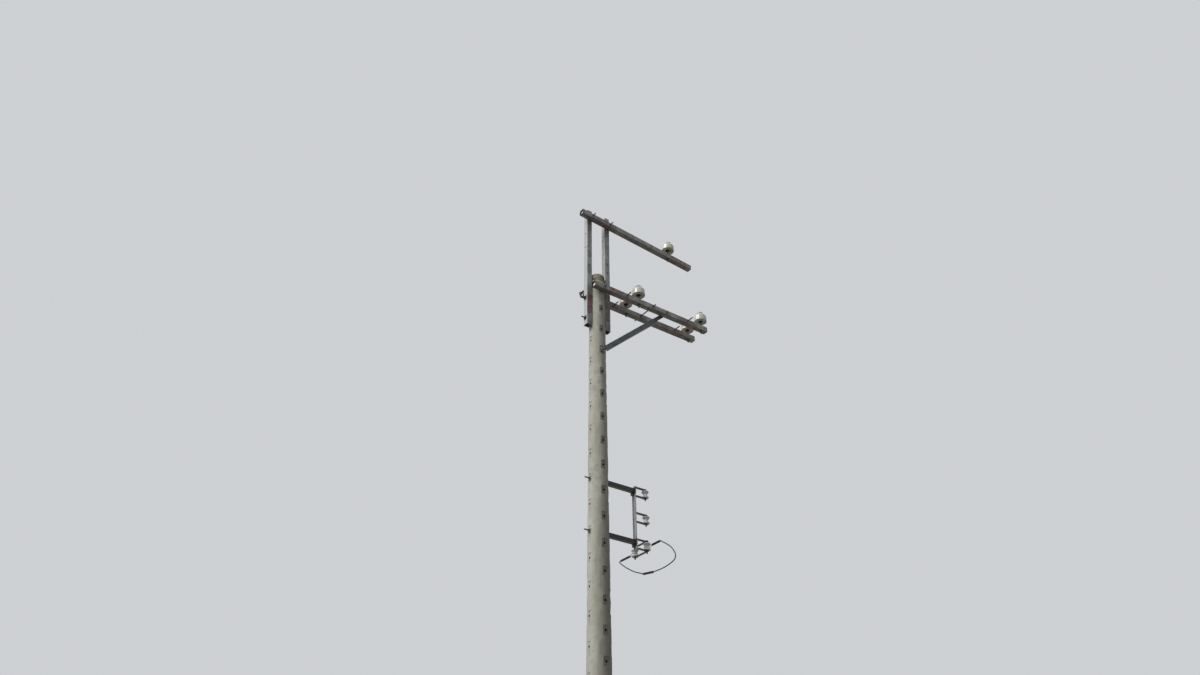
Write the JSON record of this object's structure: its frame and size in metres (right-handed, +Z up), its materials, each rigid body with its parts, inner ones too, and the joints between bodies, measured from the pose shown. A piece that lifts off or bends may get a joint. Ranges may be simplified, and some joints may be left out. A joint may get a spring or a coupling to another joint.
{
  "type": "concrete utility pole",
  "caption": "Tapered round concrete utility pole with side-reaching steel crossarms, raised top arm, pin insulators, and a low voltage spool rack with a jumper loop.",
  "frame": {"origin": "centre of the pole at ground level", "axes": "+Z up the pole, +X along the long side of the arms, +Y along the line"},
  "size_m": [1.9609, 0.984, 9.8873],
  "materials": {
    "concrete": "weathered spun concrete",
    "mortar": "stained mortar",
    "galvanised_tube": "dull galvanised, weathered",
    "weathered_tube": "galvanised, rust stained",
    "bolt_steel": "dark weathered zinc",
    "dark_steel": "dark weathered zinc",
    "bar_steel": "dull zinc",
    "pin_steel": "dull zinc",
    "porcelain": "glazed porcelain",
    "spool_porcelain": "glazed porcelain",
    "grip_cover": "black taped cover",
    "cable_sheath": "black cable sheath"
  },
  "bodies": {
    "root": {"pole_shaft": "concrete", "pole_cap": "mortar", "raiser_left": "galvanised_tube", "raiser_right": "galvanised_tube", "raiser_upper_bolt": "bolt_steel", "raiser_lower_bolt": "bolt_steel", "eye_nut": "bolt_steel", "top_arm": "weathered_tube", "top_arm_bolts": "bolt_steel", "near_arm": "weathered_tube", "far_arm": "weathered_tube", "arm_pole_bolt": "bolt_steel", "arm_tie_bolt": "bolt_steel", "near_arm_bolts": "bolt_steel", "far_arm_bolts": "bolt_steel", "arm_brace": "dark_steel", "brace_foot_bolt": "bolt_steel", "brace_head_bolt": "bolt_steel", "top_pin": "pin_steel", "near_inner_pin": "pin_steel", "near_outer_pin": "pin_steel", "far_inner_pin": "pin_steel", "far_outer_pin": "pin_steel", "top_insulator": "porcelain", "near_inner_insulator": "porcelain", "near_outer_insulator": "porcelain", "far_inner_insulator": "porcelain", "far_outer_insulator": "porcelain", "rack_upper_bracket": "dark_steel", "rack_lower_bracket": "dark_steel", "rack_upper_bolt": "bolt_steel", "rack_lower_bolt": "bolt_steel", "rack_back_bar": "bar_steel", "rack_prongs": "dark_steel", "rack_rods": "bolt_steel", "upper_spool": "spool_porcelain", "middle_spool": "spool_porcelain", "lower_spool": "spool_porcelain", "spool_link": "dark_steel", "link_rod": "bolt_steel", "link_spool": "spool_porcelain", "near_grip": "grip_cover", "far_grip": "grip_cover", "near_jumper": "cable_sheath", "far_jumper": "cable_sheath", "jumper_sleeve": "grip_cover"}
  },
  "joints": []
}
